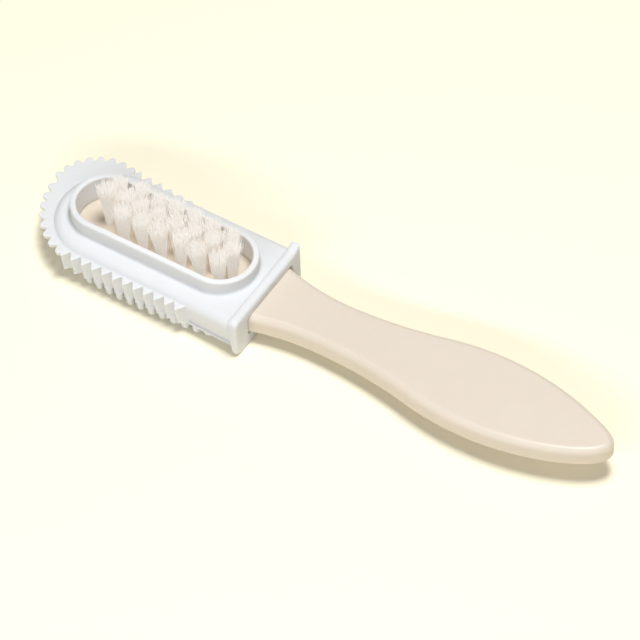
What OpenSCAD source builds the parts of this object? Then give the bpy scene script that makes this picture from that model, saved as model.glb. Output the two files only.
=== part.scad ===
// Handled scrub brush: a moulded handle with tufts set in its head, and a removable rubber boot.
// The grip end points to +X and the nose to -X. The brush rests on the boot's sole at z = 0.

/* [Overall] */
// Length from the fan's front teeth to the end of the grip
overall_l = 193.4; // [185:0.2:205]
// Height of the boot's flat top above the surface it rests on
boot_top = 12.9; // [12.5:0.1:14]

/* [Grip] */
// Width of the neck at its narrowest
neck_w = 16.8; // [15:0.1:18]
// Largest width of the grip
grip_w = 28.2; // [26:0.1:30]
// Thickness of the grip at the neck
grip_t = 6.5; // [5.5:0.1:6.6]
// How much thinner the grip is at its end
grip_thinning = 0.5; // [0:0.1:1]
// Radius of the grip's long edges seen from above
grip_arc_r = 84; // [75:1:90]
// Radius of the grip's end seen from above
tip_r = 5; // [4:0.5:6]
// Radius of the flare from the neck to the head
flare_r = 72; // [70:1:80]
// Distance from the collar's outer face back to the narrowest part of the neck
neck_back = 20.9; // [19:0.1:22]
// Height of the grip's top face at the neck
neck_top = 11.1; // [10.9:0.1:11.2]
// How far the grip rises towards its end, in degrees
grip_rise = 1.84; // [0:0.02:3]
// Radius of the grip's upper edges
grip_edge_r = 1.7; // [1:0.1:2.4]
// Radius of the grip's lower edges
grip_lower_edge_r = 1.1; // [0.8:0.1:2.4]

/* [Head] */
// Width of the head paddle that carries the tufts
head_w = 28; // [27:0.1:28.4]
// Height of the tufted face
bed_z = 8.9; // [8.6:0.1:9.4]
// Gap between the head and the boot
boot_gap = 0.2; // [0.1:0.05:0.3]

/* [Boot] */
// Width of the boot's body
boot_w = 34.7; // [34.6:0.1:37]
// How far the boot's body sits to the near side of the head
boot_side = 0.3; // [0:0.1:0.4]
// Length from the centre of the nose arc to the collar's outer face
boot_l = 56.1; // [54:0.1:58]
// Radius of the rounded top edge
top_edge_r = 2.2; // [1:0.1:2.4]
// Height of the boot floor's underside
floor_z = 2.6; // [2.2:0.1:2.8]
// Height of the skirt's lower edge
skirt_z = 3.9; // [3.5:0.1:4.5]
// Height of the step along the plain side
ledge_z = 7.4; // [7:0.1:8]
// Depth of the step
ledge_step = 0.35; // [0.2:0.05:0.6]
// How far the side leans in from its top edge to the step
side_lean = 0.2; // [0:0.05:0.4]
// Height of the thin lip along the skirt's lower edge
skirt_lip_h = 0.5; // [0.3:0.1:1]

/* [Window] */
// Distance between the centres of the window's round ends
window_l = 40.2; // [39:0.2:42]
// Radius of the window's round ends
window_r = 9.25; // [9:0.05:9.5]
// Thickness of the raised rim
rim_t = 1.9; // [1.5:0.1:2.2]
// Height of the rim above the flat top
rim_h = 5; // [4:0.1:6]
// Distance from the nose arc's centre forward to the window's front arc centre
window_forward = 0.7; // [0.5:0.1:1.5]

/* [Side ribs] */
// Number of ribs on each side
rib_count = 12; // [10:1:12]
// Distance between ribs
rib_pitch = 3.66; // [3.5:0.02:3.8]
// How far a rib stands out of the side at its top
rib_out = 2.4; // [1.5:0.1:2.5]
// Height of the ribs' top faces
rib_top = 11.3; // [10.8:0.1:11.4]
// Height of the ribs' lower ends
rib_bottom = 4; // [3.8:0.1:4.5]
// Flat along a rib's outer edge
rib_flat = 0.24; // [0.1:0.02:0.5]
// Slope of the ribs' outer edges, in degrees
rib_draft = 8; // [5:1:10]
// How far the grooves between the ribs stand out of the side
groove_out = 0.1; // [0.05:0.05:0.3]
// Distance from the nose arc's centre forward to the near side's first rib
rib_forward = 4.2; // [2.5:0.1:5]
// How far the far side's ribs are set back from the near side's
far_rib_shift = 1.9; // [0:0.1:2.5]
// How fast the far side's ribs fade into the side towards the collar, in degrees
far_rib_fade = 3; // [0:0.5:4]
// How fast the far side's rib tops fall towards the collar, in degrees
far_rib_fall = 4; // [0:0.5:5]

/* [Nose fan] */
// Radius over the teeth of the fan's far lobe
lobe_r = 15.2; // [14:0.1:16]
// Distance from the nose arc's centre forward to the far lobe's centre
lobe_forward = 8.8; // [8:0.1:10]
// Distance from the middle to the far lobe's centre
lobe_side = 4.8; // [4:0.1:5.1]
// Number of teeth round the far lobe
lobe_teeth = 8; // [6:1:9]
// Angle between the far lobe's teeth
lobe_pitch = 14.3; // [13:0.1:15]
// Angle of the far lobe's first tooth, from straight ahead
lobe_first = 104.8; // [90:0.2:110]
// Radius over the teeth of the fan's near shoulder
shoulder_r = 24.4; // [23:0.1:24.5]
// Distance from the nose arc's centre back to the near shoulder's centre
shoulder_back = 1.1; // [0.5:0.1:2]
// Distance from the middle to the near shoulder's centre
shoulder_side = 3.8; // [3.5:0.1:4.5]
// Number of teeth round the near shoulder
shoulder_teeth = 8; // [6:1:8]
// Angle between the near shoulder's teeth
shoulder_pitch = 9.4; // [9:0.1:10]
// Angle of the near shoulder's first tooth, from straight ahead
shoulder_first = -7; // [-10:0.5:-5]
// Depth of the gaps between teeth
tooth_depth = 1.7; // [1:0.1:2]
// Thickness of the fan
fan_t = 1.8; // [1.5:0.1:3]

/* [Sole fins] */
// Number of fins across the sole
fin_count = 17; // [14:1:17]
// Distance between fins
fin_pitch = 3.74; // [3.6:0.02:3.8]
// Thickness of a fin
fin_t = 2.1; // [1.8:0.1:2.3]
// Length of the longest fin across the sole
fin_w = 37.2; // [34:0.2:38]
// Radius of the line through the fins' ends seen from above
fin_line_r = 170; // [150:10:300]
// Radius of the arc through the ends of the fins under the nose
fin_nose_r = 15.5; // [15:0.1:17]
// Radius of a fin's rounded ends seen from the end of the brush
fin_end_r = 2; // [1:0.1:2.5]
// Distance from the nose arc's centre forward to the first fin
fin_forward = 11.6; // [10:0.1:13]
// Distance from the nose arc's centre back to the longest fin
longest_fin_back = 18.7; // [14:0.1:20]

/* [Collar] */
// Thickness of the collar flange at its lip
collar_t = 3.2; // [2.5:0.1:3.4]
// Thickness of the collar flange at its foot
collar_foot_t = 2; // [1.6:0.1:2.5]
// Width of the collar flange
collar_w = 35.1; // [34:0.1:37]
// Height of the collar flange
collar_h = 14.8; // [13.5:0.1:15]
// How far the collar sits to the near side of the boot's body
collar_side = 0.5; // [0:0.1:0.8]
// Radius of the collar's outer corners
collar_corner_r = 2.2; // [1.5:0.1:3]
// Width of the slot that the neck leaves through
slot_w = 25; // [24.8:0.1:26]

/* [Tufts] */
// Number of tufts in each row, near side first
row_counts = [6, 8, 7];
// Distance between tufts in each row
row_pitches = [6.72, 6.24, 6.58];
// Distance from the window's front arc centre to each row's first tuft
row_starts = [8.7, 0, 1.7];
// Distance between rows
row_gap = 4.6; // [4.6:0.05:4.8]
// Height of the cut tips above the tufted face
tuft_h = 15.7; // [13:0.1:17]
// Radius of a tuft where it leaves the head
tuft_r = 1.3; // [1.1:0.05:1.35]
// Radius of a tuft at its cut tips
tuft_tip_r = 2.15; // [1.4:0.05:2.2]
// Radius of the holes in the head
hole_r = 1.35; // [1.35:0.05:1.5]
// Depth of the holes in the head
hole_d = 3.6; // [3:0.1:3.8]

/* [Hidden] */
ROWS = ["near", "middle", "far"];
TUFTS = [
    for (row = [0 : 2])
        for (i = [1 : row_counts[row]])
            [row, i]
];
function tuft_name(t) = str("tuft_", ROWS[t[0]], "_", t[1]);

arc_steps = 14;
edge_steps = 5;
tooth_steps = 8;
round_fn = 64;

handle_colour = [0.93, 0.86, 0.77];
boot_colour = [0.92, 0.92, 0.91];
nylon_colour = [0.88, 0.84, 0.77];
anchor_colour = [0.75, 0.72, 0.62];

// Places along X
nose_x = -overall_l / 2 + lobe_r + lobe_forward;
window_x = nose_x - window_forward;
collar_x = nose_x + boot_l;
neck_x = collar_x + neck_back;
tip_x = overall_l / 2 - tip_r;
lip_r = collar_t / 2;

// How far pieces of the boot reach into each other
overlap = 0.3;
row_depth = 6.2;
row_h = 12;
fan_sink = 5;

// The grip's outline is four arcs that meet without a corner: flare, neck, long edge and tip.
edge_x = tip_x - sqrt(pow(grip_arc_r - tip_r, 2) - pow(grip_arc_r - grip_w / 2, 2));
edge_y = grip_w / 2 - grip_arc_r;
neck_dx = edge_x - neck_x;
neck_dy = neck_w / 2 - edge_y;
neck_r = (pow(neck_dx, 2) + pow(neck_dy, 2) - pow(grip_arc_r, 2)) / (2 * (grip_arc_r - neck_dy));
bend_x = edge_x - neck_dx * grip_arc_r / (neck_r + grip_arc_r);
round_x = edge_x + (tip_x - edge_x) * grip_arc_r / (grip_arc_r - tip_r);

function arc_rise(r, d) = r - sqrt(pow(r, 2) - pow(d, 2));
function half_width(x) =
    x < neck_x ? neck_w / 2 + arc_rise(flare_r, neck_x - x)
    : x < bend_x ? neck_w / 2 + arc_rise(neck_r, x - neck_x)
    : x < round_x ? grip_w / 2 - arc_rise(grip_arc_r, x - edge_x)
    : sqrt(max(0, pow(tip_r, 2) - pow(x - tip_x, 2)));

// Head and grip heights
head_z = skirt_z + boot_gap / 2;
grip_z = neck_top - grip_t;
slot_top = grip_z + grip_t + boot_gap;
neck_root_x = neck_x - sqrt(pow(flare_r, 2) - pow(flare_r - (head_w - neck_w) / 2, 2));

function rise_at(x) = x < neck_x ? 0 : (x - neck_x) * tan(grip_rise);
function thickness_at(x) = grip_t - (x < neck_x ? 0 : grip_thinning * (x - neck_x) / (tip_x - neck_x));

// Grip: cross-sections with rounded edges, lofted along X
grip_stations = concat(
    [for (i = [0 : 9]) neck_root_x + (neck_x - neck_root_x) * i / 10],
    [for (i = [0 : arc_steps - 1]) neck_x + (bend_x - neck_x) * i / arc_steps],
    [for (i = [0 : 2 * arc_steps - 1]) bend_x + (round_x - bend_x) * i / (2 * arc_steps)],
    [for (i = [0 : 10]) tip_x + tip_r * sin(24 + 65 * i / 10)]
);

// Both edge radii shrink with the last few sections, so that the end is rounded too.
function end_scale(x) = sqrt(max(0.02, 1 - pow(max(0, x - (overall_l / 2 - grip_edge_r)) / grip_edge_r, 2)));
function section(x) =
    let (shrink = 1 - end_scale(x))
    let (z_top = grip_z + grip_t + rise_at(x) - grip_edge_r * shrink)
    let (z_low = grip_z + grip_t - thickness_at(x) + rise_at(x) + grip_lower_edge_r * shrink)
    let (hw = half_width(x))
    let (most = min(hw, (z_top - z_low) / 2) * 0.95)
    [
        for (corner = [0 : 3], k = [0 : edge_steps])
            let (a = 90 * corner + 90 * k / edge_steps)
            let (r = min(most, corner < 2 ? grip_edge_r : grip_lower_edge_r))
            let (cy = (corner == 0 || corner == 3 ? 1 : -1) * (hw - r))
            let (cz = corner < 2 ? z_top - r : z_low + r)
            [x, cy + r * cos(a), cz + r * sin(a)]
    ];

module grip() {
    n = 4 * (edge_steps + 1);
    last = len(grip_stations) - 1;
    points = [for (x = grip_stations) each section(x)];
    sides = [
        for (s = [0 : last - 1], k = [0 : n - 1])
            let (a = s * n + k, b = s * n + (k + 1) % n)
            [a, a + n, b + n, b]
    ];
    ends = [
        [for (k = [0 : n - 1]) k],
        [for (k = [0 : n - 1]) last * n + n - 1 - k]
    ];
    polyhedron(points, concat(sides, ends), convexity = 6);
}

function tuft_pos(t) = [
    window_x + row_starts[t[0]] + (t[1] - 1) * row_pitches[t[0]],
    (t[0] - 1) * row_gap
];

// Half of a stadium: a round front end, and sides running back for length l
module paddle_outline(r, l) {
    circle(r, $fn = round_fn);
    translate([0, -r])
        square([l, 2 * r]);
}

module head() {
    difference() {
        translate([nose_x, 0, head_z])
            linear_extrude(bed_z - head_z)
                paddle_outline(head_w / 2, neck_root_x + 3 - nose_x);
        for (t = TUFTS)
            translate([tuft_pos(t)[0], tuft_pos(t)[1], bed_z - hole_d])
                cylinder(h = hole_d + 1, r = hole_r, $fn = round_fn);
    }
}

module handle() {
    color(handle_colour)
        union() {
            head();
            grip();
        }
}

// Boot: its half-section is revolved round the nose and run back along the sides.
module sleeve_section() {
    half = boot_w / 2;
    edge = half - side_lean;
    inner = head_w / 2 + boot_gap + 1;
    polygon([
        [0, floor_z],
        [inner, floor_z],
        [inner, skirt_z],
        [edge, skirt_z],
        [edge, skirt_z + skirt_lip_h],
        [edge - ledge_step, skirt_z + skirt_lip_h],
        [edge - ledge_step, ledge_z],
        [edge, ledge_z + overlap],
        [half, boot_top - top_edge_r],
        [half - top_edge_r, boot_top],
        [0, boot_top]
    ]);
    translate([half - top_edge_r, boot_top - top_edge_r])
        circle(top_edge_r, $fn = round_fn);
}

module sleeve() {
    translate([nose_x, 0, 0])
        rotate([0, 0, 90])
            rotate_extrude(angle = 180, $fn = round_fn)
                sleeve_section();
    translate([nose_x, 0, 0])
        rotate([90, 0, 90])
            linear_extrude(boot_l - collar_t / 2) {
                sleeve_section();
                mirror([1, 0])
                    sleeve_section();
            }
}

module stadium(r) {
    translate([window_x, 0])
        circle(r, $fn = round_fn);
    translate([window_x + window_l, 0])
        circle(r, $fn = round_fn);
    translate([window_x, -r])
        square([window_l, 2 * r]);
}

module window_rim() {
    translate([0, 0, boot_top - 1])
        linear_extrude(rim_h + 1)
            stadium(window_r + rim_t);
}

// One side's ribs: V-shaped in plan with no gaps between them, leaning inwards towards their lower ends.
// They are made on the near side, and can fade and fall towards the collar.
module rib_row(shift, fade, fall) {
    groove = rib_out - groove_out;
    end = (rib_count - 0.5) * rib_pitch;
    row_l = rib_pitch * (rib_count + 1);
    translate([nose_x - rib_forward + shift, -boot_w / 2 - rib_out, rib_top])
        intersection() {
            rotate([0, 0, fade])
                rotate([rib_draft, 0, 0])
                    translate([0, 0, -row_h])
                        linear_extrude(row_h + 2)
                            polygon([
                                [-rib_pitch / 2, row_depth],
                                for (i = [0 : rib_count - 1])
                                    let (x = i * rib_pitch)
                                    each [
                                        [x - rib_pitch / 2, groove],
                                        [x - rib_flat / 2, 0],
                                        [x + rib_flat / 2, 0]
                                    ],
                                [end, groove],
                                [end, row_depth]
                            ]);
            translate([-rib_pitch, -1, rib_bottom - rib_top])
                cube([row_l, row_depth + 2, row_h]);
            rotate([0, fall, 0])
                translate([-rib_pitch, -1, -row_h])
                    cube([row_l, row_depth + 2, row_h]);
        }
}

// Fan: a flat plate round the nose, wider on the far side, with a row of teeth along its edge.
// Each stretch of the edge is an arc with a cosine wave on it, from the gap before its first tooth.
function toothed_arc(centre, r, teeth, pitch, first) = [
    for (i = [-tooth_steps / 2 : (teeth - 0.5) * tooth_steps])
        let (a = 180 - first + i * pitch / tooth_steps)
        let (ripple = (1 - cos(360 * i / tooth_steps)) / 2)
        centre + (r - tooth_depth * ripple) * [cos(a), sin(a)]
];

module nose_fan() {
    lobe = [nose_x - lobe_forward, lobe_side];
    shoulder = [nose_x + shoulder_back, shoulder_side];
    translate([0, 0, rib_top - fan_t])
        linear_extrude(fan_t)
            polygon(concat(
                [[nose_x, boot_w / 2 - fan_sink]],
                toothed_arc(lobe, lobe_r, lobe_teeth, lobe_pitch, lobe_first),
                toothed_arc(shoulder, shoulder_r, shoulder_teeth, shoulder_pitch, shoulder_first),
                [[nose_x, -boot_w / 2 + fan_sink]]
            ));
}

// Fin: rounded along its lower edge and at both ends, with this half-length
module fin(half) {
    r = fin_t / 2;
    top = skirt_z + overlap;
    intersection() {
        translate([0, half, 0])
            rotate([90, 0, 0])
                linear_extrude(2 * half) {
                    translate([0, r])
                        circle(r, $fn = round_fn);
                    translate([-r, r])
                        square([fin_t, top - r]);
                }
        translate([-fin_t, 0, 0])
            rotate([90, 0, 90])
                linear_extrude(2 * fin_t) {
                    translate([-half, fin_end_r])
                        square([2 * half, top - fin_end_r]);
                    translate([-half + fin_end_r, 0])
                        square([2 * (half - fin_end_r), top]);
                    for (side = [-1, 1])
                        translate([side * (half - fin_end_r), fin_end_r])
                            circle(fin_end_r, $fn = round_fn);
                }
    }
}

// The fins' ends lie on a long arc on each side, and on a smaller arc under the nose.
function fin_half(x) =
    x < 0 ? fin_nose_r - arc_rise(fin_nose_r, x)
    : fin_w / 2 - arc_rise(fin_line_r, x - longest_fin_back);

module sole_fins() {
    for (i = [0 : fin_count - 1])
        let (x = -fin_forward + i * fin_pitch)
        translate([nose_x + x, 0, 0])
            fin(fin_half(x));
}

// Collar: an upright flange with a full-round lip along its top
module collar() {
    x0 = collar_x - collar_t;
    r = collar_corner_r;
    intersection() {
        translate([x0, 0, 0])
            rotate([90, 0, 90])
                linear_extrude(collar_t) {
                    translate([-collar_w / 2 + r, 0])
                        square([collar_w - 2 * r, collar_h]);
                    translate([-collar_w / 2, r])
                        square([collar_w, collar_h - 2 * r]);
                    for (side = [-1, 1], z = [r, collar_h - r])
                        translate([side * (collar_w / 2 - r), z])
                            circle(r, $fn = round_fn);
                }
        translate([0, collar_w / 2 + 1, 0])
            rotate([90, 0, 0])
                linear_extrude(collar_w + 2) {
                    polygon([
                        [collar_x, -1],
                        [collar_x - collar_foot_t, -1],
                        [x0, boot_top - 2],
                        [x0, collar_h - lip_r],
                        [collar_x, collar_h - lip_r]
                    ]);
                    translate([x0 + lip_r, collar_h - lip_r])
                        circle(lip_r, $fn = round_fn);
                }
    }
}

// The space for the head, and the taller space behind it for the neck
module boot_pocket() {
    neck_room_x = neck_root_x - 3;
    inner_x = collar_x - collar_t + 0.4;
    translate([nose_x, 0, skirt_z])
        linear_extrude(bed_z - skirt_z + boot_gap / 2)
            paddle_outline(head_w / 2 + boot_gap, inner_x - nose_x);
    translate([neck_room_x, -head_w / 2 - boot_gap, skirt_z])
        cube([inner_x - neck_room_x, head_w + 2 * boot_gap, slot_top - skirt_z]);
    translate([inner_x - 1, -slot_w / 2, skirt_z])
        cube([collar_t + 3, slot_w, slot_top - skirt_z]);
}

module boot() {
    color(boot_colour)
        difference() {
            union() {
                translate([0, -boot_side, 0]) {
                    sleeve();
                    rib_row(0, 0, 0);
                    mirror([0, 1, 0])
                        rib_row(far_rib_shift, far_rib_fade, far_rib_fall);
                    sole_fins();
                    translate([0, -collar_side, 0])
                        collar();
                }
                window_rim();
                nose_fan();
            }
            translate([0, 0, bed_z - 1])
                linear_extrude(boot_top + rim_h)
                    stadium(window_r);
            boot_pocket();
        }
}

// Anchors: a flat metal wedge at the bottom of each hole, which holds the folded filaments
anchor_l = 2 * hole_r - 0.1;
anchor_t = 0.4;
anchor_h = 1.4;

module anchor_block(gap) {
    cube([anchor_l + 2 * gap, anchor_t + 2 * gap, anchor_h + 2 * gap], center = true);
}

module place_in_hole(t) {
    translate([tuft_pos(t)[0], tuft_pos(t)[1], bed_z - hole_d])
        children();
}

module tuft_anchors() {
    color(anchor_colour)
        for (t = TUFTS)
            place_in_hole(t)
                translate([0, 0, anchor_h / 2 + 0.1])
                    anchor_block(0);
}

// Tuft: straight in its hole, then flaring to the cut tips
module tuft(t) {
    color(nylon_colour)
        place_in_hole(t)
            difference() {
                rotate_extrude($fn = round_fn)
                    polygon([
                        [0, 0.1],
                        [tuft_r, 0.1],
                        [tuft_r, hole_d + 0.5],
                        [tuft_tip_r, hole_d + tuft_h],
                        [0, hole_d + tuft_h]
                    ]);
                translate([0, 0, anchor_h / 2 + 0.1])
                    anchor_block(0.02);
            }
}

handle();
boot();
tuft_anchors();
for (t = TUFTS)
    tuft(t);
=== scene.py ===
"""Looks of the handled scrub brush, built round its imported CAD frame.

The boot and the handle are moulded shapes. Each is written as a signed distance field, in millimetres,
whose parts blend with small fillets, and is turned into a mesh. Each tuft is a bundle of separate nylon
filaments.
"""
import math
import random

import bpy
import numpy as np
import openvdb
from mathutils import Matrix, Vector


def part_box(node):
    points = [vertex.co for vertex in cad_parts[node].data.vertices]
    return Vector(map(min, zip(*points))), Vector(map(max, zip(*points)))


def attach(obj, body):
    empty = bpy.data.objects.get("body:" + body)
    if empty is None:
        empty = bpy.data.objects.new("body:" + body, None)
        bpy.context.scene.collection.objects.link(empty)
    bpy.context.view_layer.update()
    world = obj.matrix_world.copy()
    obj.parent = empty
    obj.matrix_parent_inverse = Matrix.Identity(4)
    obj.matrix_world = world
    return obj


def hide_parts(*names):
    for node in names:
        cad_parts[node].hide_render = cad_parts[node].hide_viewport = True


MM = 0.001

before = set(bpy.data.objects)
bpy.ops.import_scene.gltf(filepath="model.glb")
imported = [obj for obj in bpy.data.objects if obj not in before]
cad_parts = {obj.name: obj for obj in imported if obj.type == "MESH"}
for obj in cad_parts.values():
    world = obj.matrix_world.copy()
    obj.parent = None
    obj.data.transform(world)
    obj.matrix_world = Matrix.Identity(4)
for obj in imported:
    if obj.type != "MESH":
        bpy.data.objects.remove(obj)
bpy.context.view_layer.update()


# --------------------------------------------------------------------------------------------- sizes, in mm
def cad(node):
    """A CAD node's lowest and highest corners."""
    low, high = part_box(node)
    return low / MM, high / MM


BOOT_LOW, BOOT_HIGH = cad("boot")
HANDLE_LOW, HANDLE_HIGH = cad("handle")

# places along the brush, which is centred on the origin: its nose is at -X and the grip's tip at +X
LOBE_R, LOBE_FORWARD = 15.2, 8.8
NOSE_X = -HANDLE_HIGH.x + LOBE_R + LOBE_FORWARD
COLLAR_X = BOOT_HIGH.x
TIP_R = 5.0
TIP_X = HANDLE_HIGH.x - TIP_R

# boot: the rim and its window, and the body, which lies a little to the near side
RIM_T, RIM_H, RIM_TOP = 1.9, 5.0, BOOT_HIGH.z
BOOT_TOP = RIM_TOP - RIM_H
WINDOW_R, WINDOW_L = 9.25, 40.2
WINDOW_X = NOSE_X - 0.7
WINDOW_END_X = WINDOW_X + WINDOW_L
BOOT_HALF, BOOT_SIDE, BODY_NOSE_X = 17.25, 0.3, NOSE_X + 0.4
BODY_DRAFT, TOP_EDGE_R = 0.03, 3.0
LEDGE_Z, LEDGE_IN, LIP_Z, SKIRT_Z = 7.3, 0.35, 4.3, 3.9
SOLE_Z, SOLE_IN = 2.6, 2.3

# boot: ribs, each a V with a narrow crest, that run down to a wavy lip
RIB_COUNT, RIB_PITCH, RIB_OUT, RIB_TOP = 12, 3.66, 2.6, 11.3
RIB_X, RIB_CREST, RIB_SINK = NOSE_X - 4.2, 0.12, 0.1
RIB_LEAN = math.tan(math.radians(10))
FAR_RIB_PITCH, FAR_RIB_SHIFT = 3.8, 1.9
FAR_RIB_FALL = math.tan(math.radians(3))
LIP_OUT, LIP_WAVE = 0.1, 1.5
PLAIN_X = RIB_X + (RIB_COUNT - 0.4) * RIB_PITCH
SPREAD_OUT, SPREAD_L = 0.4, 15

# boot: the fins below, the fan round the nose, and the collar, whose lip ends in an ear
FIN_R, FIN_COUNT, FIN_PITCH, FIN_HALF, FIN_X = 1.2, 17, 3.74, 18.5, NOSE_X - 11.6
FIN_LINE_R, FIN_NOSE_R, LONGEST_FIN_X = 170.0, 15.5, NOSE_X + 18.7
FIN_END_R, FIN_CREST_R = 2.2, 1.1
FAN_T, FAN_TEETH, TOOTH_H, FAN_UNDERCUT = 1.9, 8, 1.7, 0.22
LOBE_SIDE, LOBE_PITCH, LOBE_START = 4.8, 14.3, 104.8
SHOULDER_R, SHOULDER_SIDE, SHOULDER_PITCH, SHOULDER_START = 24.5, 3.8, 9.4, -7
COLLAR_T, COLLAR_H, COLLAR_HALF, COLLAR_SIDE = 3.2, 14.8, 17.55, 0.8
COLLAR_THINNING, COLLAR_CORNER_R, COLLAR_EDGE_R = 1.2, 2.4, 0.9
EAR_H, EAR_L = 2.4, 4.0

# boot: room inside it for the head and the neck
PLAY = 0.2
NECK_ROOM_X = -26.5
SLOT_HALF, SLOT_R = 12.0, 1.0

# handle
HEAD_HALF, HEAD_Z, BED_Z = 14.0, 4.0, 8.9
HOLE_R, HOLE_D = 1.35, 3.6
GRIP_TOP, GRIP_T, GRIP_THINNING = 11.1, 6.5, 0.5
GRIP_HALF, NECK_HALF, NECK_X = 14.1, 8.4, COLLAR_X + 20.9
GRIP_ARC_R, FLARE_R = 84.0, 72.0
GRIP_RISE = math.tan(math.radians(1.84))
GRIP_EDGE_R, GRIP_BACK_R = 2.3, 0.9

# the grip's round end: where it starts and stops, and how far it leans to the far side
ROUND_X, TIP_END_X = TIP_X - 4.7, HANDLE_HIGH.x - 0.4
TIP_SIDE, TIP_SIDE_L = 0.7, 14

# tufts: how far the tips spread and lean, how late filaments bend outwards, and how unevenly they are cut
FILAMENT_R, ROOT_R = 0.095, HOLE_R - 0.17
TIP_SPREAD, TUFT_LEAN = (2.2, 3.7), 0.4
BEND = 1.1, 1.7
UNEVEN_CUT, DOME_H = 0.3, 0.4

# meshes
BOOT_STEP, BOOT_FACES = 0.2, 195000
HANDLE_STEP, HANDLE_FACES = 0.3, 120000


# ------------------------------------------------------------------------------------------ distance fields
class Grid:
    """A block of sample points, each axis shaped so that numpy broadcasts the three against each other."""

    def __init__(self, low, high, step):
        self.step = step
        self.low = [v - 4 * step for v in low]
        axes = [np.arange(a, b + 4 * step, step, dtype=np.float32) for a, b in zip(self.low, high)]
        self.x = axes[0][:, None, None]
        self.y = axes[1][None, :, None]
        self.z = axes[2][None, None, :]


def union(a, b, blend):
    """Union of two fields, with a fillet about as wide as blend."""
    h = np.clip(0.5 + 0.5 * (b - a) / blend, 0, 1)
    return b + (a - b) * h - blend * h * (1 - h)


def cut(a, b, blend):
    """Field a with b taken out of it, and the edge rounded by about blend."""
    return -union(-a, b, blend)


def both(a, b, radius):
    """Intersection of two fields, with an outer edge of this radius."""
    inner = np.minimum(np.maximum(a, b) + radius, 0)
    return inner + np.hypot(np.maximum(a + radius, 0), np.maximum(b + radius, 0)) - radius


def slab(v, low, high):
    """Distance to the layer in which v lies between low and high."""
    return np.maximum(low - v, v - high)


def stadium(x, y, x0, x1, radius):
    """Plan distance to a strip with round ends, whose end centres are at x0 and x1."""
    return np.hypot(x - np.clip(x, x0, x1), y) - radius


def rounded_box(a, b, half_a, half_b, radius):
    """Distance to a rectangle with round corners, centred on the origin of a and b."""
    qa, qb = np.abs(a) - half_a + radius, np.abs(b) - half_b + radius
    return np.hypot(np.maximum(qa, 0), np.maximum(qb, 0)) + np.minimum(np.maximum(qa, qb), 0) - radius


def polygon_distance(x, y, corners):
    """Signed distance in plan to a closed polygon."""
    nearest = np.full(np.broadcast_shapes(x.shape, y.shape), 1e9, np.float32)
    inside = np.zeros(nearest.shape, bool)
    for (ax, ay), (bx, by) in zip(corners, corners[1:] + corners[:1]):
        ex, ey = bx - ax, by - ay
        t = np.clip(((x - ax) * ex + (y - ay) * ey) / (ex * ex + ey * ey), 0, 1)
        nearest = np.minimum(nearest, (x - ax - t * ex) ** 2 + (y - ay - t * ey) ** 2)
        if ey:
            inside ^= ((ay > y) != (by > y)) & (x < ax + (y - ay) * ex / ey)
    return np.where(inside, -1, 1) * np.sqrt(nearest)


def arc_rise(r, d):
    """How far an arc of radius r has fallen away at a distance d from its crown."""
    return r - np.sqrt(np.maximum(r * r - d * d, 0))


def nearest_of(x, first, pitch, count):
    """Distance along x from the nearest member of a row."""
    i = np.clip(np.round((x - first) / pitch), 0, count - 1)
    return x - (first + i * pitch)


def mesh_from_field(name, field, grid, most_faces):
    """Turns a field into a smooth-shaded mesh object in metres, reduced to about this many triangles."""
    volume = openvdb.FloatGrid(background=3 * grid.step)
    volume.copyFromArray(np.ascontiguousarray(field, np.float32), tolerance=0.0)
    points, triangles, quads = volume.convertToPolygons(isovalue=0.0, adaptivity=0.0)
    points = (points * grid.step + np.array(grid.low)) * MM
    mesh = bpy.data.meshes.new(name)
    mesh.from_pydata(points.tolist(), [], triangles.tolist() + quads.tolist())
    piece = bpy.data.objects.new(name, mesh)
    bpy.context.collection.objects.link(piece)
    faces = len(triangles) + 2 * len(quads)
    if faces > most_faces:
        reduce = piece.modifiers.new("reduce", "DECIMATE")
        reduce.ratio = most_faces / faces
        bpy.context.view_layer.objects.active = piece
        bpy.ops.object.modifier_apply(modifier=reduce.name)
    piece.data.polygons.foreach_set("use_smooth", [True] * len(piece.data.polygons))
    return piece


# ----------------------------------------------------------------------------------------------------- boot
def toothed_arc(centre, radius, pitch, first, per_tooth=12):
    """Points along an arc with a wave on it, which is broad at its crests.

    The arc runs anticlockwise from half a tooth before its first tooth to half a tooth after its last. The
    pitch and the first tooth's place, clockwise from -X, are in degrees.
    """
    points = []
    for i in range(-per_tooth // 2, FAN_TEETH * per_tooth - per_tooth // 2 + 1):
        a = math.radians(180 - first + i * pitch / per_tooth)
        r = radius - TOOTH_H * (0.5 - 0.5 * math.cos(2 * math.pi * i / per_tooth)) ** 1.6
        points.append((centre[0] + r * math.cos(a), centre[1] + r * math.sin(a)))
    return points


def near_spread(x):
    """How far the near side has spread at x, from the last rib to the collar."""
    return SPREAD_OUT * np.clip((x - PLAIN_X) / SPREAD_L, 0, 1)


def sleeve(x, y, z):
    """The boot's body. Where it has no ribs, its sides step in a little between a ledge and a thin lip."""
    plain = np.clip((x - PLAIN_X) / 0.6, 0, 1)
    below_ledge = np.clip((LEDGE_Z - z) / 0.2, 0, 1)
    above_lip = np.clip((z - LIP_Z - 0.3) / 0.2, 0, 1)
    plan = stadium(x, y, BODY_NOSE_X, COLLAR_X - 1.5, BOOT_HALF) - near_spread(x) * (y < 0)
    plan = plan + BODY_DRAFT * np.maximum(RIB_TOP - z, 0)
    shell = np.maximum(both(plan, z - BOOT_TOP, TOP_EDGE_R), LIP_Z - 0.1 - z)
    step = LEDGE_IN * plain * below_ledge * above_lip
    sole = both(plan + SOLE_IN, slab(z, SOLE_Z, SKIRT_Z + 1), 0.3)
    return union(shell + step, sole, 0.3)


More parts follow.
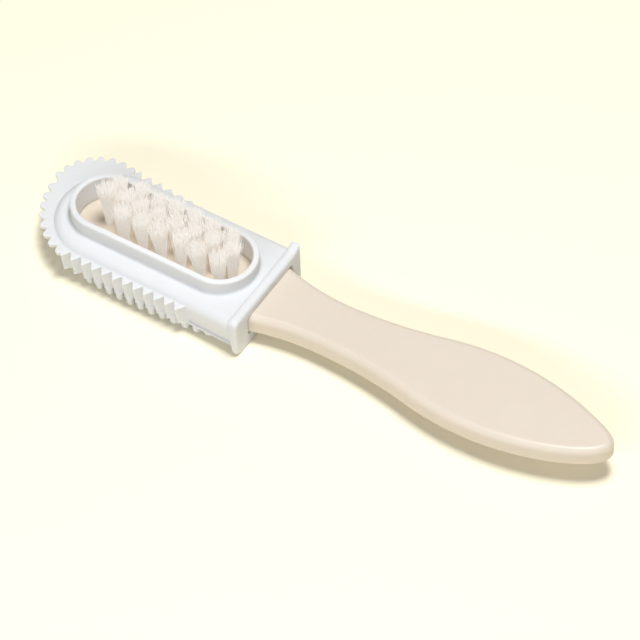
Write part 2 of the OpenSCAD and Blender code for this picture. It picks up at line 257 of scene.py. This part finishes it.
def ribs_and_lip(x, y, z, side, shift, pitch, fall):
    """One side's ribs, as wide at the body as their pitch all the way down to a thin wavy lip.

    A row that falls also fades: towards the collar its ribs start lower and stand out less.
    """
    out = side * y
    dx = nearest_of(x, RIB_X + shift, pitch, RIB_COUNT)
    along = x - RIB_X - shift
    foot = BOOT_HALF - RIB_SINK
    reach = np.maximum(foot + RIB_OUT - fall * along - RIB_LEAN * (RIB_TOP - z), foot + RIB_SINK)
    spread = (pitch / 2 - RIB_CREST) / (reach - foot)
    wedge = (np.abs(dx) - RIB_CREST - (reach - out) * spread) / np.hypot(1, spread)
    wedge = np.maximum(both(wedge, out - reach, RIB_CREST), np.abs(dx) - pitch / 2)
    rib = both(wedge, slab(z, LIP_Z - 0.2, RIB_TOP - fall * along), RIB_CREST)

    wave = np.where(np.abs(dx) <= pitch / 2, 0.5 + 0.5 * np.cos(2 * math.pi * dx / pitch), 0)
    edge = BOOT_HALF + LIP_OUT + near_spread(x) * (side < 0)
    edge = edge + np.maximum(LIP_WAVE - fall * along, 0) * wave
    lip = both((out - edge) * 0.8, slab(z, LIP_Z - 0.3, LIP_Z + 0.25), 0.2)
    lip = np.maximum(lip, NOSE_X - 5 - x)
    return np.maximum(union(rib, lip, 0.1), 12 - out)


def sole_fins(x, y, z):
    """Fins across the sole. Their ends lie on a long arc on each side, and on a small one under the nose."""
    dx = nearest_of(x, FIN_X, FIN_PITCH, FIN_COUNT)
    under_nose = FIN_NOSE_R - arc_rise(FIN_NOSE_R, np.minimum(x - NOSE_X, 0))
    behind_nose = FIN_HALF - arc_rise(FIN_LINE_R, x - LONGEST_FIN_X)
    half = np.where(x < NOSE_X + FIN_PITCH / 3, under_nose, behind_nose)
    profile = np.hypot(dx, np.minimum(z - FIN_R, 0)) - FIN_R
    ends = rounded_box(y, z - 5, half, 5, FIN_END_R)
    return np.maximum(both(profile, ends, FIN_CREST_R), z - LIP_Z + 0.1)


def collar(x, y, z):
    """Upright flange, thinner at its foot, whose full-round lip along the top ends in a raised ear."""
    far_end = COLLAR_HALF - COLLAR_SIDE
    z = z - EAR_H * np.clip((y - far_end + EAR_L) / EAR_L, 0, 1) ** 2 * np.clip(z / COLLAR_H, 0, 1)
    lip_r = COLLAR_T / 2
    thickness = COLLAR_T - COLLAR_THINNING * np.clip(1 - z / (BOOT_TOP - 2), 0, 1)
    profile = slab(x, COLLAR_X - thickness, COLLAR_X)
    rise = z - (COLLAR_H - lip_r)
    profile = np.where(rise > 0, np.hypot(x - COLLAR_X + lip_r, rise) - lip_r, profile)
    outline = rounded_box(y + COLLAR_SIDE, z - COLLAR_H / 2, COLLAR_HALF, COLLAR_H / 2, COLLAR_CORNER_R)
    return both(outline, profile, COLLAR_EDGE_R)


def nose_fan(x, y, z):
    """Toothed plate round the nose: a lobe on the far side and a shoulder on the near one.

    Its edge is full at the top and rounded away below.
    """
    lobe_centre = NOSE_X - LOBE_FORWARD, LOBE_SIDE
    shoulder_centre = NOSE_X + 1.1, SHOULDER_SIDE
    corners = [(NOSE_X, BOOT_HALF - 5)]
    corners += toothed_arc(lobe_centre, LOBE_R + 0.1, LOBE_PITCH, LOBE_START)
    corners += toothed_arc(shoulder_centre, SHOULDER_R, SHOULDER_PITCH, SHOULDER_START)
    corners += [(NOSE_X, 5 - BOOT_HALF)]
    plan = polygon_distance(x, y, corners) + FAN_UNDERCUT * np.maximum(RIB_TOP - 0.4 - z, 0) ** 2
    return both(plan, slab(z, RIB_TOP - FAN_T, RIB_TOP), 0.25)


def boot_field(g):
    """The whole boot, hollow, with its window and its slot for the neck."""
    x, y, z = g.x, g.y, g.z
    yb = y + BOOT_SIDE
    body = sleeve(x, yb, z)
    near_ribs = ribs_and_lip(x, yb, z, side=-1, shift=0, pitch=RIB_PITCH, fall=0)
    far_ribs = ribs_and_lip(x, yb, z, side=1, shift=FAR_RIB_SHIFT, pitch=FAR_RIB_PITCH, fall=FAR_RIB_FALL)
    body = union(body, near_ribs, 0.25)
    body = union(body, far_ribs, 0.25)
    body = union(body, sole_fins(x, yb, z), 0.4)
    body = np.maximum(body, x - (COLLAR_X - 1))
    body = union(body, collar(x, y, z), 0.2)
    body = union(body, nose_fan(x, y, z), 0.25)
    ring = np.abs(stadium(x, y, WINDOW_X, WINDOW_END_X, WINDOW_R + RIM_T / 2)) - RIM_T / 2
    body = union(body, both(ring, slab(z, BOOT_TOP - 1, RIM_TOP), 0.55), 1.0)

    # What the tufts, the head and the neck take out. The window's cut stops below the rim's rounded top
    # edge, because the rim is an open ring already.
    window = np.maximum(stadium(x, y, WINDOW_X, WINDOW_END_X, WINDOW_R), slab(z, BED_Z - 1, RIM_TOP - 0.6))
    room = HEAD_HALF + PLAY
    inner_x = COLLAR_X - COLLAR_T + 0.4
    pocket = np.maximum(stadium(x, y, NOSE_X, COLLAR_X, room), slab(z, SKIRT_Z, BED_Z + 0.1))
    neck = np.maximum(slab(x, NECK_ROOM_X, inner_x), slab(z, SKIRT_Z, GRIP_TOP + PLAY))
    neck = np.maximum(neck, np.abs(y) - room)
    slot = rounded_box(y, z - (SKIRT_Z + GRIP_TOP) / 2, SLOT_HALF, (GRIP_TOP - SKIRT_Z) / 2 + 0.05, SLOT_R)
    slot = np.maximum(slot, inner_x - 1 - x)
    hollow = np.minimum(np.maximum(pocket, x - inner_x), neck)
    return cut(np.maximum(np.maximum(body, -window), -hollow), slot, 0.2)


# --------------------------------------------------------------------------------------------------- handle
def grip_outline(x):
    """The grip's half-width squared: arcs that meet without a corner, then a quadratic round the tip."""
    edge_x = TIP_X - math.sqrt((GRIP_ARC_R - TIP_R) ** 2 - (GRIP_ARC_R - GRIP_HALF) ** 2)
    dx, dy = edge_x - NECK_X, NECK_HALF - (GRIP_HALF - GRIP_ARC_R)
    neck_r = (dx * dx + dy * dy - GRIP_ARC_R**2) / (2 * (GRIP_ARC_R - dy))
    bend_x = edge_x - dx * GRIP_ARC_R / (neck_r + GRIP_ARC_R)
    flare = NECK_HALF + arc_rise(FLARE_R, NECK_X - x)
    neck = NECK_HALF + arc_rise(neck_r, x - NECK_X)
    long_edge = GRIP_HALF - arc_rise(GRIP_ARC_R, x - edge_x)
    arcs = np.where(x < NECK_X, flare, np.where(x < bend_x, neck, long_edge))
    start = GRIP_HALF - arc_rise(GRIP_ARC_R, ROUND_X - edge_x)
    slope = -2 * start * (ROUND_X - edge_x) / math.sqrt(GRIP_ARC_R**2 - (ROUND_X - edge_x) ** 2)
    length = TIP_END_X - ROUND_X
    bend = -(start * start + slope * length) / length**2
    d = x - ROUND_X
    return np.where(x < ROUND_X, arcs * arcs, start * start + slope * d + bend * d * d)


def handle_field(g, tufts):
    """The grip, the head under the boot, and a blind hole for each tuft."""
    x, y, z = g.x, g.y, g.z
    square = grip_outline(x)
    steepness = np.gradient(square[:, 0, 0], g.step)[:, None, None]
    yt = y - TIP_SIDE * np.clip((x - ROUND_X + 5) / TIP_SIDE_L, 0, 1) ** 2
    plan = (yt * yt - square) / np.sqrt(4 * yt * yt + steepness**2 + 0.01)
    along = np.maximum(x - NECK_X, 0)
    top = GRIP_TOP + along * GRIP_RISE
    bottom = top - GRIP_T + GRIP_THINNING * along / (TIP_X - NECK_X)
    root_x = NECK_X - math.sqrt(FLARE_R**2 - (FLARE_R - HEAD_HALF + NECK_HALF) ** 2)
    grip = both(both(plan, z - top, GRIP_EDGE_R), bottom - z, GRIP_BACK_R)
    grip = np.maximum(grip, root_x - x)
    head = both(stadium(x, y, NOSE_X, root_x, HEAD_HALF), slab(z, HEAD_Z, BED_Z), 0.2)
    head = np.maximum(head, x - root_x - 3)
    body = union(head, grip, 0.4)
    for tx, ty in tufts:
        hole = np.maximum(np.hypot(x - tx, y - ty) - HOLE_R, BED_Z - HOLE_D - z)
        body = np.maximum(body, -hole)
    return body


# ---------------------------------------------------------------------------------------------------- tufts
def tuft_centre(node):
    low, high = cad(node)
    return (low.x + high.x) / 2, (low.y + high.y) / 2


def make_tuft(node, rng, filaments=150, sides=4, rings=6):
    """A bundle of filaments, packed in the hole and flaring to tips cut at slightly different heights."""
    low, high = cad(node)
    cx, cy = tuft_centre(node)
    base_z, top_z = low.z, high.z
    lean = Vector((rng.gauss(0, TUFT_LEAN), rng.gauss(0, TUFT_LEAN)))
    verts, faces = [], []
    for i in range(filaments):
        share = math.sqrt((i + 0.5) / filaments)
        angle = i * math.pi * (3 - math.sqrt(5)) + rng.uniform(-0.2, 0.2)
        base_r = share * ROOT_R
        tip_r = share * rng.uniform(*TIP_SPREAD)
        tip_angle = angle + rng.gauss(0, 0.12)
        length = top_z - base_z - abs(rng.gauss(0, UNEVEN_CUT)) - DOME_H * share * share
        bend = rng.uniform(*BEND)
        start = len(verts)
        for k in range(rings + 1):
            t = k / rings
            z = base_z + length * t
            open_share = max(0.0, (z - BED_Z + 0.4) / (top_z - BED_Z)) ** bend
            a = angle + (tip_angle - angle) * open_share
            r = base_r + (tip_r - base_r) * open_share
            mid_x = cx + r * math.cos(a) + lean.x * open_share
            mid_y = cy + r * math.sin(a) + lean.y * open_share
            for s in range(sides):
                b = 2 * math.pi * s / sides
                verts.append((mid_x + FILAMENT_R * math.cos(b), mid_y + FILAMENT_R * math.sin(b), z))
        for k in range(rings):
            for s in range(sides):
                a0 = start + k * sides + s
                a1 = start + k * sides + (s + 1) % sides
                faces.append((a0, a1, a1 + sides, a0 + sides))
        faces.append([start + s for s in reversed(range(sides))])
        faces.append([start + rings * sides + s for s in range(sides)])
    mesh = bpy.data.meshes.new(f"{node}_filaments")
    mesh.from_pydata([Vector(v) * MM for v in verts], [], faces)
    mesh.polygons.foreach_set("use_smooth", [len(f) == 4 for f in faces])
    piece = bpy.data.objects.new(f"{node}_filaments", mesh)
    bpy.context.collection.objects.link(piece)
    return piece


# ------------------------------------------------------------------------------------------------ materials
class Nodes:
    """A material's node tree, with short calls for the few nodes used here."""

    def __init__(self, name):
        self.material = bpy.data.materials.new(name)
        self.material.use_nodes = True
        self.tree = self.material.node_tree
        self.shader = self.tree.nodes["Principled BSDF"]
        self.place = self.add("ShaderNodeTexCoord").outputs["Object"]

    def add(self, kind):
        return self.tree.nodes.new(kind)

    def link(self, output, target):
        self.tree.links.new(output, target)

    def set(self, **values):
        for name, value in values.items():
            self.shader.inputs[name.replace("_", " ")].default_value = value

    def noise(self, scale, detail=3.0):
        """Noise whose scale is in waves per metre."""
        node = self.add("ShaderNodeTexNoise")
        node.inputs["Scale"].default_value = scale
        node.inputs["Detail"].default_value = detail
        self.link(self.place, node.inputs["Vector"])
        return node.outputs["Fac"]

    def spread(self, output, to_low, to_high):
        """The middle part of a noise, stretched to run between two values."""
        node = self.add("ShaderNodeMapRange")
        for name, value in zip(("From Min", "From Max", "To Min", "To Max"), (0.3, 0.7, to_low, to_high)):
            node.inputs[name].default_value = value
        self.link(output, node.inputs["Value"])
        return node.outputs["Result"]

    def mix(self, share, a, b):
        """A colour between a and b."""
        node = self.add("ShaderNodeMix")
        node.data_type = "RGBA"
        self.link(share, node.inputs["Factor"])
        node.inputs["A"].default_value = (*a, 1)
        node.inputs["B"].default_value = (*b, 1)
        return node.outputs["Result"]

    def bump(self, output, height_mm):
        node = self.add("ShaderNodeBump")
        node.inputs["Distance"].default_value = height_mm * MM
        self.link(output, node.inputs["Height"])
        self.link(node.outputs["Normal"], self.shader.inputs["Normal"])


def rubber():
    m = Nodes("boot_rubber")
    colour = m.mix(m.noise(160), (0.715, 0.715, 0.70), (0.74, 0.74, 0.725))
    m.link(colour, m.shader.inputs["Base Color"])
    m.link(m.spread(m.noise(900), 0.5, 0.62), m.shader.inputs["Roughness"])
    m.set(Specular_IOR_Level=0.35, Subsurface_Weight=0.5, Subsurface_Scale=0.002)
    m.shader.inputs["Subsurface Radius"].default_value = (1.0, 0.9, 0.75)
    m.bump(m.noise(2600, 2.0), 0.012)
    return m.material


def handle_plastic():
    m = Nodes("handle_plastic")
    colour = m.mix(m.noise(120), (0.715, 0.625, 0.505), (0.735, 0.645, 0.525))
    m.link(colour, m.shader.inputs["Base Color"])
    m.link(m.spread(m.noise(700), 0.34, 0.44), m.shader.inputs["Roughness"])
    m.set(Specular_IOR_Level=0.5, Subsurface_Weight=0.3, Subsurface_Scale=0.002)
    m.shader.inputs["Subsurface Radius"].default_value = (1.0, 0.75, 0.5)
    m.bump(m.noise(3200, 2.0), 0.008)
    return m.material


def nylon():
    m = Nodes("nylon")
    colour = m.mix(m.noise(900), (0.62, 0.59, 0.54), (0.70, 0.67, 0.63))
    m.link(colour, m.shader.inputs["Base Color"])
    m.link(m.spread(m.noise(2000), 0.25, 0.4), m.shader.inputs["Roughness"])
    # The emission is a painted glow. The filaments give off a little light of their own, in place of the
    # light that their shade on each other keeps out.
    m.set(Specular_IOR_Level=0.6, Alpha=0.7, Emission_Color=(1.0, 0.95, 0.88, 1), Emission_Strength=0.27)
    return m.material


def brass():
    m = Nodes("anchor_brass")
    colour = m.mix(m.noise(900), (0.66, 0.52, 0.28), (0.75, 0.62, 0.36))
    m.link(colour, m.shader.inputs["Base Color"])
    m.link(m.spread(m.noise(1500), 0.28, 0.42), m.shader.inputs["Roughness"])
    m.set(Metallic=1.0)
    return m.material


# ---------------------------------------------------------------------------------------------------- build
def stand_for(piece, node, material):
    """Puts the piece in a CAD node's place and its material."""
    piece.data.materials.append(material)
    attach(piece, "root")
    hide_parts(node)


tuft_nodes = sorted(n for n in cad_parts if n.startswith("tuft_") and n != "tuft_anchors")
hole_centres = [tuft_centre(n) for n in tuft_nodes]

boot_grid = Grid(BOOT_LOW, BOOT_HIGH, BOOT_STEP)
boot_shape = boot_field(boot_grid)
boot = mesh_from_field("rubber_boot", boot_shape, boot_grid, BOOT_FACES)
stand_for(boot, "boot", rubber())

handle_grid = Grid(HANDLE_LOW, HANDLE_HIGH, HANDLE_STEP)
handle_shape = handle_field(handle_grid, hole_centres)
handle = mesh_from_field("moulded_handle", handle_shape, handle_grid, HANDLE_FACES)
stand_for(handle, "handle", handle_plastic())

nylon_with_painted_glow = nylon()
for number, node in enumerate(tuft_nodes):
    tuft = make_tuft(node, random.Random(number))
    stand_for(tuft, node, nylon_with_painted_glow)

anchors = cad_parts["tuft_anchors"]
anchors.data.materials.clear()
anchors.data.materials.append(brass())


# ---------------------------------------------------------------------------------------------------- stage
def make_floor():
    m = Nodes("floor")
    m.link(m.mix(m.noise(4), (0.98, 0.925, 0.715), (0.985, 0.915, 0.705)), m.shader.inputs["Base Color"])
    m.set(Roughness=0.95, Specular_IOR_Level=0.0)
    bpy.ops.mesh.primitive_plane_add(size=3)
    floor = bpy.context.object
    floor.name = "floor"
    floor.data.materials.append(m.material)


def make_light(name, location, size, energy, colour):
    """A flat light of this width and height, facing the brush."""
    data = bpy.data.lights.new(name, "AREA")
    data.shape = "ELLIPSE"
    data.size, data.size_y = size
    data.energy = energy
    data.color = colour
    light = bpy.data.objects.new(name, data)
    light.location = location
    light.rotation_euler = (-Vector(location)).to_track_quat("-Z", "Y").to_euler()
    bpy.context.collection.objects.link(light)


def make_world(strength, colour):
    world = bpy.data.worlds.new("studio")
    world.use_nodes = True
    background = world.node_tree.nodes["Background"]
    background.inputs["Color"].default_value = (*colour, 1)
    background.inputs["Strength"].default_value = strength
    bpy.context.scene.world = world


def make_camera(azimuth, elevation, roll, distance, aim, lens):
    """A camera that looks at aim from this distance. Angles are in degrees, azimuth from -Y towards +X."""
    az, el, ro = (math.radians(a) for a in (azimuth, elevation, roll))
    right = Vector((math.cos(az), math.sin(az), 0))
    up = Vector((-math.sin(az) * math.sin(el), math.cos(az) * math.sin(el), math.cos(el)))
    back = right.cross(up)
    across = right * math.cos(ro) + up * math.sin(ro)
    upright = up * math.cos(ro) - right * math.sin(ro)
    data = bpy.data.cameras.new("camera")
    data.lens = lens
    camera = bpy.data.objects.new("camera", data)
    bpy.context.collection.objects.link(camera)
    turn = Matrix((across, upright, back)).transposed().to_4x4()
    camera.matrix_world = Matrix.Translation(Vector(aim) + back * distance) @ turn
    bpy.context.scene.camera = camera


make_floor()
make_light("key", (0.1, 0.055, 1.0), size=(0.34, 0.34), energy=8.6, colour=(0.97, 1.0, 1.03))
make_light("front", (0.15, -0.62, 0.42), size=(1.0, 0.06), energy=2.4, colour=(0.91, 0.97, 1.13))
make_world(strength=0.2, colour=(1.0, 0.92, 0.89))
bpy.context.scene.view_settings.view_transform = "Standard"
aim = (-0.00657, 0.01025, -0.0061)
make_camera(azimuth=34.17, elevation=50.55, roll=-2.43, distance=1.0, aim=aim, lens=191.25)
